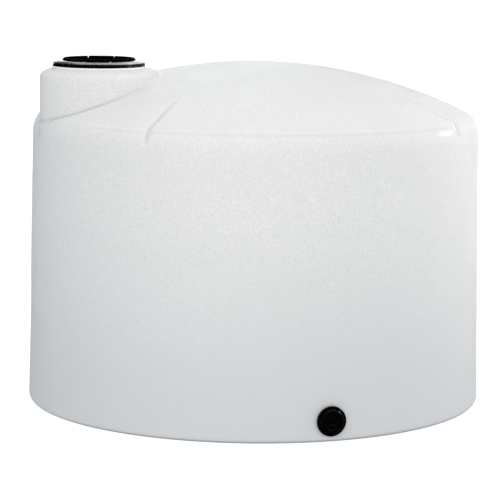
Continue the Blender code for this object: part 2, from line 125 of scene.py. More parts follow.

# Painted highlights by the front right groove, as pale patches: azimuth, height, half width in degrees and half
# height
HIGHLIGHT_PATCHES = ((36.6, 1.360, 5.2, 0.017), (42.5, 1.386, 0.9, 0.032))

# Specks on the left of the wall: azimuth, height and radius
SPECKS = ((-74.5, 0.417, 0.0055), (-74.5, 0.263, 0.0045))

# Mesh of the skin outside and inside: plain and close spacing of its columns in degrees and of its rows in
# metres, and rings of faces round the neck on the dome and up the neck
OUTER_MESH = (1.6, 0.24, 0.045, 0.005, 20, 26)
INNER_MESH = (3.2, 0.6, 0.09, 0.012, 10, 12)

# Patch of the skin that is meshed round the neck: azimuths, arc length of its top, reach below the shoulder
PATCH_DEG = (-117, -63)
PATCH_TOP = 0.40
PATCH_BELOW_SHOULDER = 0.06

# Arcs of outlines turn by this much a step, and take at most this share of the line beside them
ARC_STEP_DEG = 14
ARC_SHARE = 0.49

# Threaded ring and its screws
RING_RADIUS = (RING_HIGH.x - RING_LOW.x) / 2
RING_TOP_Z = RING_HIGH.z
RING_FLANGE = 0.006
RING_BARREL_RADIUS = 0.1955
RING_BORE_RADIUS = 0.1865
NOTCHES_DEG = (-5.0, 31.0)
NOTCH_WIDTH = 0.005
NOTCH_DEPTH = 0.004
SCREW_COUNT = 10
SCREW_CIRCLE = 0.2065
SCREW_PHASE_DEG = 13.0
SCREW_HEAD_RADIUS = 0.0048
SCREW_HEAD = 0.0030
SCREW_SHANK_RADIUS = 0.0022
SCREW_LENGTH = SCREW_HIGH.z - SCREW_LOW.z
SCREW_TURN_DEG = 37.0
RECESS_HALF_LENGTH = 0.0027
RECESS_WIDTH = 0.0011
RECESS_DEPTH = 0.0018

# Thread between lid and ring
THREAD_PITCH = 0.009
THREAD_TURNS = 2.6
THREAD_HEIGHT = 0.0022
THREAD_HALF_WIDTH = 0.0021
THREAD_CREST = 0.4
THREAD_BURIED = 0.0008
THREAD_GROWTH = 12
THREAD_STEPS = 96
RING_THREAD_DROP = 0.005
LID_THREAD_DROP = 0.008

# Lid
LID_Z = SEAL_HIGH.z + GAP
LID_RADIUS = (LID_HIGH.x - LID_LOW.x) / 2
LID_EDGE = 0.0052
SEAL_WIDTH = 0.0063
RIM = (0.193, 0.0135)
CROWN_FOOT = (0.1745, 0.0165)
CROWN_TOP = (0.168, LID_HIGH.z - LID_Z)
CROWN_INSIDE = 0.156
LUG_COUNT = 8
LUG_SLOT = 0.008
LUG_PHASE_DEG = -18.6
LUG_INSET = 0.001
LUG_BURIED = 0.004
LUG_ROUNDING = 0.0015
LUG_STEPS = 18
SKIRT_RADIUS = 0.1810
SKIRT_THICKNESS = 0.006
LID_PLATE = 0.006
RIB_WIDTH = 0.006
RIB_HEIGHT = 0.009
RIB_BURIED = 0.003
RIB_ROUNDING = 0.0018
HUB_RADIUS = 0.046
HUB_HEIGHT = 0.006
VENT_HOLE_RADIUS = 0.014
VENT_FLUTES = 24
VENT_FLUTE_DEPTH = 0.0007
GRIP_MARGIN = 0.0005

# Outlet fitting, on a level axis through the front wall
OUTLET_Z = (BODY_LOW.z + BODY_HIGH.z) / 2
FLANGE_RADIUS = (BODY_HIGH.z - BODY_LOW.z) / 2
FLANGE_THICKNESS = 0.012
OUTLET_GASKET = 0.004
HUB_LENGTH = 0.014
OUTLET_HUB_RADIUS = 0.054
OUTLET_BORE_RADIUS = 0.0385
OUTLET_BARREL_RADIUS = 0.0440
OUTLET_HOLE_RADIUS = 0.0475
SOCKET_WIDTH = 0.030
SOCKET_DEPTH = 0.016
SOCKET_ROUNDING = 0.0025
NUT_FLATS = 8
NUT_FLAT_SHARE = 0.955

# Studio lights: name, what it faces, azimuth, elevation, distance, size, watts, tint, and whether it lights
# matt surfaces or is a card that only the glossy parts reflect
TANK_MIDDLE = Vector((0, 0, DOME_TOP_Z / 2))
LID_MIDDLE = MANWAY + Vector((0, 0, LID_Z))
WARM, COOL, WHITE = (1.0, 0.93, 0.85), (0.93, 0.97, 1.0), (1.0, 1.0, 1.0)
LIGHTS = (
    ("front", TANK_MIDDLE, -25, 18.5, 4.7, (3.0, 2.0), 36.0, WARM, "surfaces"),
    ("high", TANK_MIDDLE, -10, 45, 5.5, (3.0, 3.0), 28.0, WARM, "surfaces"),
    ("right", TANK_MIDDLE, 80, 18.5, 3.4, (2.0, 1.5), 36.0, WARM, "surfaces"),
    ("top", TANK_MIDDLE, 0, 90, 6.0, (4.0, 4.0), 33.0, WARM, "surfaces"),
    ("rim", LID_MIDDLE, 161.4, 35, 6.3, (2.6, 2.4), 72.0, COOL, "reflections"),
    ("backdrop", LID_MIDDLE, 161.4, 13, 6.3, (2.6, 2.4), 52.0, COOL, "reflections"),
    ("glint", TANK_MIDDLE, 66, 16, 6.0, (0.5, 0.5), 110.0, WHITE, "reflections"),
)
WORLD_TINT = (0.925, 0.965, 1.0)
WORLD_STRENGTH = 0.765

# Materials that wear: colour, roughness and metallic without nodes, scale of the wear, its two tints and two
# roughnesses, and the grain's scale, depth and strength
RUBBER = (((0.02, 0.02, 0.02), 0.8), 60.0, (0.014, (0.035, 0.034, 0.033)), (0.65, 0.85), (700.0, 0.0002, 0.4))
VENT_TINTS = ((0.020, 0.020, 0.022), (0.045, 0.045, 0.047))
VENT = (((0.03, 0.03, 0.032), 0.45), 30.0, VENT_TINTS, (0.35, 0.5), (800.0, 0.0002, 0.3))
STEEL_TINTS = ((0.50, 0.50, 0.49), (0.68, 0.68, 0.66))
STEEL = (((0.62, 0.62, 0.60), 0.28, 1.0), 300.0, STEEL_TINTS, (0.22, 0.42), (1500.0, 0.0001, 0.2))

# Floor, which glows so evenly that it has no horizon
FLOOR_RADII = (4.0, 90.0)
FLOOR_DROP = 0.0002
FLOOR_GLOW = 0.80

# Photograph's camera
PHOTO_AZIMUTH = -18.6
CAMERA_DISTANCE = 10.83
CAMERA_Z = 2.302
CAMERA_YAW = -0.0019
CAMERA_PITCH = 0.1451
CAMERA_ROLL = 0.0097
FOCAL_PIXELS = 2223.0
PHOTO_PIXELS = 500.0
SENSOR = 36.0
CAMERA_REACH = 200.0

# Plain tank profile, by arc length from the middle of the dome down to the middle of the underside
SHOULDER_CENTRE = WALL_TOP_RADIUS - SHOULDER_FILLET
DOME_RISE = DOME_TOP_Z - WALL_TOP_Z
SPHERE = (SHOULDER_CENTRE**2 + DOME_RISE**2 - SHOULDER_FILLET**2) / (2 * (DOME_RISE - SHOULDER_FILLET))
SPHERE_Z = DOME_TOP_Z - SPHERE
JOIN_ANGLE = atan2(WALL_TOP_Z - SPHERE_Z, SHOULDER_CENTRE)
DOME_END = SPHERE * (pi / 2 - JOIN_ANGLE)
SHOULDER_END = DOME_END + SHOULDER_FILLET * JOIN_ANGLE
WALL_END = SHOULDER_END + (WALL_TOP_Z - FOOT_FILLET)
FOOT_END = WALL_END + FOOT_FILLET * pi / 2
UNDERSIDE_END = FOOT_END + FOOT_RADIUS - FOOT_FILLET
TAPER = (FOOT_RADIUS - WALL_TOP_RADIUS) / (WALL_TOP_Z - FOOT_FILLET)
AT_MANWAY = Matrix.Translation(MANWAY)

# Places a body made about Z at the outlet, pointing at -Y, with its origin on the outside of the wall
OUTLET_Y = BODY_LOW.y + HUB_LENGTH + FLANGE_THICKNESS + OUTLET_GASKET + GAP
AT_OUTLET = Matrix.Translation((0, OUTLET_Y, OUTLET_Z)) @ Matrix.Rotation(pi / 2, 4, "X")
WALL_Y = AT_OUTLET.translation.y


def smooth(share):
    share = np.clip(share, 0, 1)
    return share * share * (3 - 2 * share)


def peak(value, middle, width):
    return np.exp(-(((value - middle) / width) ** 2))


def around(radius, degrees, z):
    """Points at this radius and azimuth round the tank's axis."""
    angle = np.radians(degrees)
    return np.stack(np.broadcast_arrays(radius * np.sin(angle), -radius * np.cos(angle), z), -1)


def azimuth_of(points):
    return np.degrees(np.arctan2(points[:, 0], -points[:, 1]))


def off_groove(degrees):
    """Degrees to the middle of the nearest groove."""
    return 45 - np.abs((degrees - GROOVE_SHIFT_DEG + 45) % 90 - 45)


def plain_profile(along):
    """Radius, height and the normal's angle above the horizon at an arc length along the profile."""
    dome = pi / 2 - along / SPHERE
    shoulder = JOIN_ANGLE - (along - DOME_END) / SHOULDER_FILLET
    down = along - SHOULDER_END
    foot = -(along - WALL_END) / FOOT_FILLET
    zones = [along < DOME_END, along < SHOULDER_END, along < WALL_END, along < FOOT_END]
    radii = [
        SPHERE * np.cos(dome),
        SHOULDER_CENTRE + SHOULDER_FILLET * np.cos(shoulder),
        WALL_TOP_RADIUS + down * TAPER,
        FOOT_RADIUS - FOOT_FILLET + FOOT_FILLET * np.cos(foot),
    ]
    heights = [
        SPHERE_Z + SPHERE * np.sin(dome),
        WALL_TOP_Z + SHOULDER_FILLET * np.sin(shoulder),
        WALL_TOP_Z - down,
        FOOT_FILLET + FOOT_FILLET * np.sin(foot),
    ]
    angle = np.select(zones, [dome, shoulder, 0 * along, foot], -pi / 2)
    return np.select(zones, radii, UNDERSIDE_END - along), np.select(zones, heights, 0.0), angle


def sunk(degrees, along):
    """How far the moulded skin lies below the plain profile: grooves, shoulder's step, slow unevenness."""
    radius, z, _ = plain_profile(along)
    groove = np.clip(1 - off_groove(degrees) / GROOVE_HALF_DEG, 0, 1) ** 2 * GROOVE_DEPTH
    groove = groove * smooth((radius - GROOVE_INNER_RADIUS) / (GROOVE_FULL_RADIUS - GROOVE_INNER_RADIUS))
    groove = groove * smooth((z - WALL_TOP_Z) / GROOVE_FOOT_RISE)
    step = smooth((STEP_Z - z) / STEP_WIDTH) * smooth((z - STEP_FADE_Z + STEP_FADE) / STEP_FADE) * STEP_DEPTH
    uneven = 0 * radius
    for height, waves, length, phase, start in UNEVEN:
        wave = np.sin(np.radians(degrees) * waves + phase) * np.sin(tau * along / length + start)
        uneven = uneven + height * (wave + 1)
    free = smooth(along / UNEVEN_FREE) * smooth((WALL_END - along) / UNEVEN_FREE)
    return groove + step + uneven * free


def tank_points(degrees, along, inset):
    radius, z, angle = plain_profile(along)
    depth = sunk(degrees, along) + inset
    return around(radius - depth * np.cos(angle), degrees, z - depth * np.sin(angle))


def tank_coordinates(points):
    """Azimuth, arc length along the profile and distance outside the plain profile, above the foot."""
    radius = np.hypot(points[:, 0], points[:, 1])
    z = points[:, 2]
    dome = np.arctan2(z - SPHERE_Z, radius)
    shoulder = np.arctan2(z - WALL_TOP_Z, radius - SHOULDER_CENTRE)
    zones = [dome > JOIN_ANGLE, z > WALL_TOP_Z]
    lengths = [SPHERE * (pi / 2 - dome), DOME_END + SHOULDER_FILLET * (JOIN_ANGLE - shoulder)]
    along = np.select(zones, lengths, SHOULDER_END + WALL_TOP_Z - z)
    rises = [
        np.hypot(radius, z - SPHERE_Z) - SPHERE,
        np.hypot(radius - SHOULDER_CENTRE, z - WALL_TOP_Z) - SHOULDER_FILLET,
    ]
    outside = np.select(zones, rises, radius - WALL_TOP_RADIUS - (WALL_TOP_Z - z) * TAPER)
    return azimuth_of(points), along, outside


def tank_distance(points, inset):
    degrees, along, outside = tank_coordinates(points)
    return outside + sunk(degrees, along) + inset


def rounded(corners, closed=False):
    """Outline through (radius, height, fillet) corners, with an arc of that fillet at each."""
    outline = []
    count = len(corners)
    for i, (x, y, fillet) in enumerate(corners):
        if fillet == 0 or (not closed and i in (0, count - 1)):
            outline.append((x, y))
            continue
        here = Vector((x, y))
        back = Vector(corners[i - 1][:2]) - here
        ahead = Vector(corners[(i + 1) % count][:2]) - here
        half = back.angle(ahead) / 2
        reach = min(fillet / tan(half), ARC_SHARE * back.length, ARC_SHARE * ahead.length)
        radius = reach * tan(half)
        middle = here + (back.normalized() + ahead.normalized()).normalized() * (radius / sin(half))
        start = here + back.normalized() * reach - middle
        end = here + ahead.normalized() * reach - middle
        turn = start.angle_signed(end)
        steps = max(2, ceil(abs(turn) / radians(ARC_STEP_DEG)))
        for k in range(steps + 1):
            outline.append(tuple(middle + Matrix.Rotation(-turn * k / steps, 2) @ start))
    return outline


def bridged(rings, steps):
    """Faces between each ring of points and the next. A ring may be a single point."""
    faces = []
    for ring, following in zip(rings, rings[1:]):
        for i in range(steps):
            j = (i + 1) % steps
            corners = [ring[i % len(ring)], ring[j % len(ring)]]
            corners += [following[j % len(following)], following[i % len(following)]]
            corners = list(dict.fromkeys(corners))
            if len(corners) > 2:
                faces.append(corners)
    return faces


def turned(outline, steps, closed=True, flute=None):
    """Points and faces of an outline of (radius, height) turned about Z. flute may change the radii."""
    angles = 360 * np.arange(steps) / steps
    points, rings = [], []
    for radius, z in outline:
        if radius == 0:
            rings.append([len(points)])
            points.append((0, 0, z))
        else:
            radii = radius if flute is None else flute(radius, z, angles)
            rings.append(list(range(len(points), len(points) + steps)))
            points += [tuple(p) for p in around(radii, angles, z)]
    return points, bridged(rings + rings[:1] if closed else rings, steps)


def new_object(name, points, faces, matrix=None):
    """An object from points and faces, its faces turned outwards."""
    mesh = bpy.data.meshes.new(name)
    mesh.from_pydata([tuple(p) for p in points], [], faces)
    if matrix is not None:
        mesh.transform(matrix)
    bm = bmesh.new()
    bm.from_mesh(mesh)
    bmesh.ops.recalc_face_normals(bm, faces=bm.faces)
    bm.to_mesh(mesh)
    bm.free()
    obj = bpy.data.objects.new(name, mesh)
    bpy.context.scene.collection.objects.link(obj)
    return obj


def lathed(name, corners, steps, matrix, closed=True, flute=None):
    """An object from (radius, height, fillet) corners turned about Z."""
    return new_object(name, *turned(rounded(corners, closed), steps, closed, flute), matrix)


def combine(obj, operation, body, matrix=None):
    """Joins obj to a body of points and faces, or cuts it with that."""
    helper = new_object("helper", *body, matrix)
    modifier = obj.modifiers.new("combine", "BOOLEAN")
    modifier.object = helper
    modifier.operation = operation
    evaluated = obj.evaluated_get(bpy.context.evaluated_depsgraph_get())
    mesh = bpy.data.meshes.new_from_object(evaluated)
    obj.modifiers.clear()
    obj.data = mesh
    bpy.data.objects.remove(helper)


def finish_piece(obj, material, body, nodes, sharp_degrees=32):
    """Shades the piece, gives it its material, and lets it stand for its CAD nodes on their body."""
    obj.data.materials.clear()
    obj.data.materials.append(material)
    obj.data.shade_smooth()
    obj.data.set_sharp_from_angle(angle=radians(sharp_degrees))
    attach(obj, body)
    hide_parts(*nodes)


# Skin of the tank

def spread(stops, density, samples=2000):
    """Places from the first stop to the last, as close as the density asks, with one exactly on each stop."""
    places = [stops[0]]
    for low, high in zip(stops, stops[1:]):
        fine = np.linspace(low, high, samples + 1)
        each = density((fine[1:] + fine[:-1]) / 2) * (high - low) / samples
        total = np.concatenate([[0], np.cumsum(each)])
        count = max(1, round(total[-1]))
        places += list(np.interp(total[-1] * np.arange(1, count + 1) / count, total, fine))
        places[-1] = high
    return np.array(places)


def skin_columns(plain, close):
    """Azimuths of the skin's columns, closer together along the grooves and over the outlet."""

    def density(degrees):
        return 1 / plain + peak(off_groove(degrees), 0, 2.0) / close + 0.6 * peak(degrees, 0, 6.0) / plain

    return spread([-135.0, -45.0, 45.0, 135.0, 225.0], density)[:-1]


def skin_rows(plain, close):
    """Arc lengths of the skin's rows, closer together at the shoulder, its step, the grooves and the foot."""
    step = DOME_END + SHOULDER_FILLET * (JOIN_ANGLE - asin((STEP_Z - WALL_TOP_Z) / SHOULDER_FILLET))
    foot = (WALL_END + FOOT_END) / 2

    def density(along):
        grooves = smooth((along - 0.70) / 0.1) * smooth((SHOULDER_END + 0.03 - along) / 0.05)
        at_foot, at_outlet = peak(along, foot, 0.035), peak(along, WALL_END - 0.07, 0.10)
        closer = grooves * 0.30 + peak(along, step, 0.008) + at_foot * 0.7 + at_outlet * 0.12
        return 1 / plain + closer / close

    return spread([0.0, DOME_END, SHOULDER_END, WALL_END, FOOT_END, UNDERSIDE_END], density)


def neck_corners(inset):
    """Corners of the neck's side, from inside the tank over its rounded edge to the top of the cone."""
    top_radius = CONE_TOP[0] - inset * sin(CONE_SLOPE)
    top_z = CONE_TOP[1] - inset * cos(CONE_SLOPE)
    radius = NECK_RADIUS - inset
    edge_z = top_z - (radius - top_radius) * tan(CONE_SLOPE)
    return [(radius, NECK_FOOT_Z, 0), (radius, edge_z, NECK_EDGE_FILLET - inset), (top_radius, top_z, 0)]


def top_corners():
    """Corners from the cone's top over the collar and its plate to the mouth."""
    return [
        (*CONE_TOP, 0),
        (CONE_TOP[0] - 0.0012, CONE_TOP[1] + 0.0022, 0.002),
        (COLLAR_RADIUS, COLLAR_TOP_Z, 0.0025),
        (MOUTH_RADIUS, COLLAR_TOP_Z, 0.0015),
        (MOUTH_RADIUS, COLLAR_TOP_Z - SKIN / 2, 0),
    ]


def under_corners():
    """Corners from the cone's top up inside the collar and under its plate to the mouth."""
    return [
        (CONE_TOP[0] - SKIN * sin(CONE_SLOPE), CONE_TOP[1] - SKIN * cos(CONE_SLOPE), 0),
        (COLLAR_RADIUS - SKIN, CONE_TOP[1] - SKIN * 0.8, 0.002),
        (COLLAR_RADIUS - SKIN, COLLAR_TOP_Z - SKIN, 0.002),
        (MOUTH_RADIUS, COLLAR_TOP_Z - SKIN, 0.0015),
        (MOUTH_RADIUS, COLLAR_TOP_Z - SKIN * 0.6, 0),
    ]


def polygon_distance(points, outline):
    """Distance outside a closed outline, negative within it."""
    outline = np.array(outline)
    following = np.roll(outline, -1, 0)
    ahead = following - outline
    away = points[:, None] - outline
    share = np.clip((away * ahead).sum(-1) / (ahead**2).sum(-1), 0, 1)
    nearest = np.linalg.norm(away - share[..., None] * ahead, axis=-1).min(1)
    spans = (outline[:, 1] > points[:, None, 1]) != (following[:, 1] > points[:, None, 1])
    rise = np.where(ahead[:, 1] == 0, 1, ahead[:, 1])
    crossing = outline[:, 0] + (points[:, None, 1] - outline[:, 1]) * ahead[:, 0] / rise
    within = (spans & (points[:, None, 0] < crossing)).sum(1) % 2 == 1
    return np.where(within, -nearest, nearest)


def inward(across, along):
    """0 on the sides of the neck that face out of the tank, growing to 1 on the side nearest its middle."""
    return smooth((across / np.maximum(along, 1e-9) - INNER_START) / INNER_GROWTH)


def neck_lift(across, radius):
    """How much higher than a level edge the neck's edge stands here."""
    return INNER_LIFT * inward(across, radius) * smooth((radius - CONE_TOP[0]) / (NECK_RADIUS - CONE_TOP[0]))


def blended_distance(points, inset, side):
    """Distance outside tank and neck, joined by a concave fillet that is widest on the neck's inner side."""
    off_axis = points[:, :2] - np.array(MANWAY[:2])
    radius = np.linalg.norm(off_axis, axis=1)
    flat = np.stack([radius, points[:, 2] - neck_lift(off_axis[:, 0], radius)], 1)
    solid = side + [(0, side[-1][1] + NECK_EDGE_FILLET), (0, NECK_FOOT_Z)]
    neck = polygon_distance(flat, solid)
    tank = tank_distance(points, inset)
    inner = inward(off_axis[:, 0], radius)
    blend = CREASE_BLEND + INNER_BLEND * inner
    share = np.clip(0.5 + 0.5 * (neck - tank) / blend, 0, 1)
    crease = np.exp(-((neck - CREASE_OFFSET) ** 2 + tank**2) / CREASE_HALF_WIDTH**2)
    groove = CREASE_DEPTH * (1 - inner) * crease
    return neck + (tank - neck) * share - blend * share * (1 - share) + groove


def settle(points, inset, side):
    """Moves points onto the blended surface."""
    small = 1e-5
    for _ in range(4):
        level = blended_distance(points, inset, side)
        beside = [blended_distance(points + small * axis, inset, side) for axis in np.eye(3)]
        slope = (np.stack(beside, 1) - level[:, None]) / small
        points = points - slope * (level / (slope**2).sum(1))[:, None]
    return points


def neck_ring(azimuths, side, lengths, reach):
    """Points on the neck's side at these azimuths about its own axis and arc lengths up its outline."""
    radius = np.interp(reach, lengths, [p[0] for p in side])
    z = np.interp(reach, lengths, [p[1] for p in side])
    lift = neck_lift(radius * np.sin(np.radians(azimuths)), radius)
    return around(radius, azimuths, z + lift) + np.array(MANWAY)


def crease_lengths(azimuths, side, lengths, inset):
    """Arc lengths up the neck's side at which it comes out of the tank."""
    low, high = np.zeros(len(azimuths)), np.full(len(azimuths), lengths[-1])
    for _ in range(40):
        middle = (low + high) / 2
        inside = tank_distance(neck_ring(azimuths, side, lengths, middle), inset) < 0
        low, high = np.where(inside, middle, low), np.where(inside, high, middle)
    return low


def on_chart(azimuth, length):
    """Place on the skin's flat chart, at an azimuth and an arc length from the top of the dome."""
    return around(length, azimuth, 0.0)[..., :2]


def grid_faces(grid, columns, rows):
    """Faces of the skin's grid but for the patch round the neck, and the loop of points round that patch."""
    row_low = int(np.argmin(abs(rows - PATCH_TOP)))
    row_high = int(np.argmin(abs(rows - SHOULDER_END - PATCH_BELOW_SHOULDER)))
    column_low, column_high = [int(np.argmin(abs(columns - degrees))) for degrees in PATCH_DEG]
    top_pole, low_pole = grid.size, grid.size + 1
    count = len(columns)
    faces = []
    for r in range(len(grid) - 1):
        for c in range(count):
            if not (row_low <= r < row_high and column_low <= c < column_high):
                d = (c + 1) % count
                faces.append((grid[r, c], grid[r + 1, c], grid[r + 1, d], grid[r, d]))
    for c in range(count):
        d = (c + 1) % count
        faces += [(top_pole, grid[0, c], grid[0, d]), (low_pole, grid[-1, d], grid[-1, c])]
    border = [grid[row_low, column_low:column_high], grid[row_low:row_high, column_high]]
    border += [grid[row_high, column_high:column_low:-1], grid[row_high:row_low:-1, column_low]]
    return faces, np.concatenate(border)


def skin_surface(mesh, inset, side, top):
    """Points, faces and the mouth's loop with its azimuths, of the skin at an inset from the outside."""
    plain_deg, close_deg, plain, close, dome_rings, neck_rings = mesh
    columns = skin_columns(plain_deg, close_deg)
    rows = skin_rows(plain, close)[1:-1]
    degrees, along = np.meshgrid(columns, rows)
    faces, border = grid_faces(np.arange(degrees.size).reshape(degrees.shape), columns, rows)
    degrees, along = degrees.ravel(), along.ravel()
    points = [tank_points(degrees, along, inset), np.array([(0, 0, DOME_TOP_Z - inset), (0, 0, inset)])]
    rings = [border]

    def add(ring):
        rings.append(sum(map(len, points)) + np.arange(len(ring)))
        points.append(ring)

    border_chart = on_chart(degrees[border], along[border])
    azimuths = azimuth_of(border_chart - on_chart(MANWAY_DEG, SPHERE * asin(-MANWAY.x / SPHERE)))
    lengths = np.concatenate([[0], np.cumsum(np.linalg.norm(np.diff(np.array(side), axis=0), axis=1))])
    low = crease_lengths(azimuths, side, lengths, inset)
    azimuth, length, _ = tank_coordinates(neck_ring(azimuths, side, lengths, low))
    crease_chart = on_chart(azimuth, length)

    for k in range(dome_rings - 1, 0, -1):
        share = 1 - cos(pi / 2 * k / dome_rings)
        chart = crease_chart + (border_chart - crease_chart) * share
        add(settle(tank_points(azimuth_of(chart), np.linalg.norm(chart, axis=1), inset), inset, side))
    for k in range(neck_rings + 1):
        share = (1 - cos(pi * k / neck_rings)) / 2
        ring = neck_ring(azimuths, side, lengths, low + (lengths[-1] - low) * share)
        add(settle(ring, inset, side) if k < neck_rings else ring)
    for radius, z in top[1:]:
        add(around(radius, azimuths, z) + np.array(MANWAY))
    return np.concatenate(points), faces + bridged(rings, len(border)), rings[-1], azimuths


def zipped(loop, azimuths, other, other_azimuths):
    """Triangles between two loops round one axis that have different numbers of points."""
    loop, azimuths = loop[np.argsort(azimuths)], np.sort(azimuths)
    other, other_azimuths = other[np.argsort(other_azimuths)], np.sort(other_azimuths)
    faces = []
    i = j = 0
    while i < len(loop) or j < len(other):
        next_here = azimuths[i + 1] if i + 1 < len(loop) else azimuths[0] + 360
        next_there = other_azimuths[j + 1] if j + 1 < len(other) else other_azimuths[0] + 360
        a, b = loop[i % len(loop)], other[j % len(other)]
        if j >= len(other) or (i < len(loop) and next_here <= next_there):
            faces.append((a, loop[(i + 1) % len(loop)], b))
            i += 1
        else:
            faces.append((a, other[(j + 1) % len(other)], b))
            j += 1
    return faces


def without_loose(points, faces):
    used = np.unique(np.concatenate([np.array(f) for f in faces]))
    place = np.full(len(points), -1)
    place[used] = np.arange(len(used))
    return points[used], [tuple(place[list(f)]) for f in faces]


def moved(body, place):
    return [Vector(p) + place for p in body[0]], body[1]


def upright_rod(radius, low, high, steps):
    return turned([(0, low), (radius, low), (radius, high), (0, high)], steps, closed=False)


def joined(parts):
    """Points and faces of several bodies as one list."""
    points, faces = [], []
    for some_points, some_faces in parts:
        first = len(points)
        points += [tuple(p) for p in some_points]
        faces += [[first + i for i in face] for face in some_faces]
    return points, faces


def screw_places(z=0.0):
    for number in range(SCREW_COUNT):
        yield MANWAY + Vector(around(SCREW_CIRCLE, SCREW_PHASE_DEG + 360 * number / SCREW_COUNT, z))


def build_skin(material):
    """The moulded shell: outside and inside joined at the mouth, with the holes of the outlet and screws."""
    outer = skin_surface(OUTER_MESH, 0.0, rounded(neck_corners(0)), rounded(top_corners()))
    inner = skin_surface(INNER_MESH, SKIN, rounded(neck_corners(SKIN)), rounded(under_corners()))
    points = np.concatenate([outer[0], inner[0]])
    shift = len(outer[0])
    faces = outer[1] + [tuple(shift + i for i in reversed(f)) for f in inner[1]]
    faces += zipped(outer[2], outer[3], inner[2] + shift, inner[3])
    points, faces = without_loose(points, faces)
    skin = new_object("tank_skin", points, faces)
    low, high = COLLAR_TOP_Z - 2 * REACH, COLLAR_TOP_Z + REACH
    rod = upright_rod(SCREW_SHANK_RADIUS + GAP, low, high, 16)
    rods = [moved(rod, place) for place in screw_places()]
    hole_points, hole_faces = upright_rod(OUTLET_HOLE_RADIUS, -5 * REACH, 5 * REACH, 96)
    level, outlet = Matrix.Rotation(pi / 2, 3, "X"), Vector((0, -FOOT_RADIUS, OUTLET_Z))
    rods.append(moved(([level @ Vector(p) for p in hole_points], hole_faces), outlet))
    combine(skin, "DIFFERENCE", joined(rods))
    round_nodes = [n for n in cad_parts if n.startswith(("wall_segment", "dome_"))]
    finish_piece(skin, material, "tank", [*round_nodes, "tank_floor", "manway_neck"], 40)


# Threads

def swept_faces(size, steps):
    """Faces of a closed section of this many points moved on by this many steps, with both ends closed."""
    faces = []
    for k in range(steps):
        for c in range(size):
            d = (c + 1) % size
            faces.append((size * k + c, size * k + d, size * (k + 1) + d, size * (k + 1) + c))
    return faces + [tuple(range(size)), tuple(size * steps + c for c in range(size))]


def thread(radius, outward, top_z):
    """A helical ridge round Z that runs out to nothing at both ends, as points and faces."""
    points = []
    count = round(THREAD_STEPS * THREAD_TURNS)
    crest = THREAD_HALF_WIDTH * THREAD_CREST
    for k in range(count + 1):
        share = k / count
        grown = sqrt(max(0.0, min(1.0, THREAD_GROWTH * share, THREAD_GROWTH * (1 - share))))
        z = top_z - THREAD_PITCH * THREAD_TURNS * share
        rise = THREAD_HEIGHT * grown
        section = [(-THREAD_BURIED, -THREAD_HALF_WIDTH), (rise, -crest)]
        section += [(rise, crest), (-THREAD_BURIED, THREAD_HALF_WIDTH)]
        for out, up in section:
            points.append(around(radius + outward * out, 360 * THREAD_TURNS * share, z + up))
    return points, swept_faces(4, count)


def bar(degrees, inner, outer, width, low, high):
    """A bar along a radius, as points and faces."""
    half = width / 2
    base = ((-half, -inner), (half, -inner), (half, -outer), (-half, -outer))
    corners = [(x, y, z) for z in (low, high) for x, y in base]
    turn = Matrix.Rotation(radians(degrees), 3, "Z")
    faces = [(0, 1, 2, 3), (4, 5, 6, 7), (0, 1, 5, 4), (1, 2, 6, 5), (2, 3, 7, 6), (3, 0, 4, 7)]
    return [turn @ Vector(c) for c in corners], faces


def bevelled(points, faces, width, keep_below=-inf):
    """The body with its sharp edges rounded, apart from those that lie below a height."""
    bm = bmesh.new()
    verts = [bm.verts.new(p) for p in points]
    for face in faces:
        bm.faces.new([verts[i] for i in face])
    bmesh.ops.recalc_face_normals(bm, faces=bm.faces)
    edges = [e for e in bm.edges if e.calc_face_angle(0) > radians(25)]
    edges = [e for e in edges if max(v.co.z for v in e.verts) >= keep_below]
    bmesh.ops.bevel(bm, geom=edges, offset=width, segments=3, profile=0.5, affect="EDGES", clamp_overlap=True)
    bm.verts.index_update()
    result = [v.co.copy() for v in bm.verts], [[v.index for v in f.verts] for f in bm.faces]
    bm.free()
    return result


# Manway ring, screws, lid, seal and vent

def build_ring(material):
    low = RING_TOP_Z - RING_FLANGE
    corners = [
        (RING_RADIUS, low, 0.0010),
        (RING_RADIUS, RING_TOP_Z, 0.0012),
        (RING_BORE_RADIUS, RING_TOP_Z, 0.0016),
        (RING_BORE_RADIUS, RING_LOW.z, 0.0008),
        (RING_BARREL_RADIUS, RING_LOW.z, 0.0012),
        (RING_BARREL_RADIUS, low, 0),
    ]
    ring = lathed("manway_ring_detail", corners, 192, AT_MANWAY)
    ridge = thread(RING_BORE_RADIUS, -1, RING_TOP_Z - RING_THREAD_DROP)
    combine(ring, "UNION", ridge, AT_MANWAY)
    notch = (RING_RADIUS - NOTCH_DEPTH, RING_RADIUS + REACH, NOTCH_WIDTH, low - REACH, RING_TOP_Z + REACH)
    cutters = [moved(bar(degrees, *notch), MANWAY) for degrees in NOTCHES_DEG]
    sunk_screw = [(0, -SCREW_LENGTH), (SCREW_SHANK_RADIUS + GAP, -SCREW_LENGTH)]
    sunk_screw += [(SCREW_SHANK_RADIUS + GAP, -SCREW_HEAD - GAP), (SCREW_HEAD_RADIUS + GAP, -GAP)]
    sunk_screw += [(SCREW_HEAD_RADIUS + GAP, 0.002), (0, 0.002)]
    screw_hole = turned(sunk_screw, 24, closed=False)
    cutters += [moved(screw_hole, place) for place in screw_places(RING_TOP_Z)]
    combine(ring, "DIFFERENCE", joined(cutters))
    finish_piece(ring, material, "tank", ["manway_ring"])


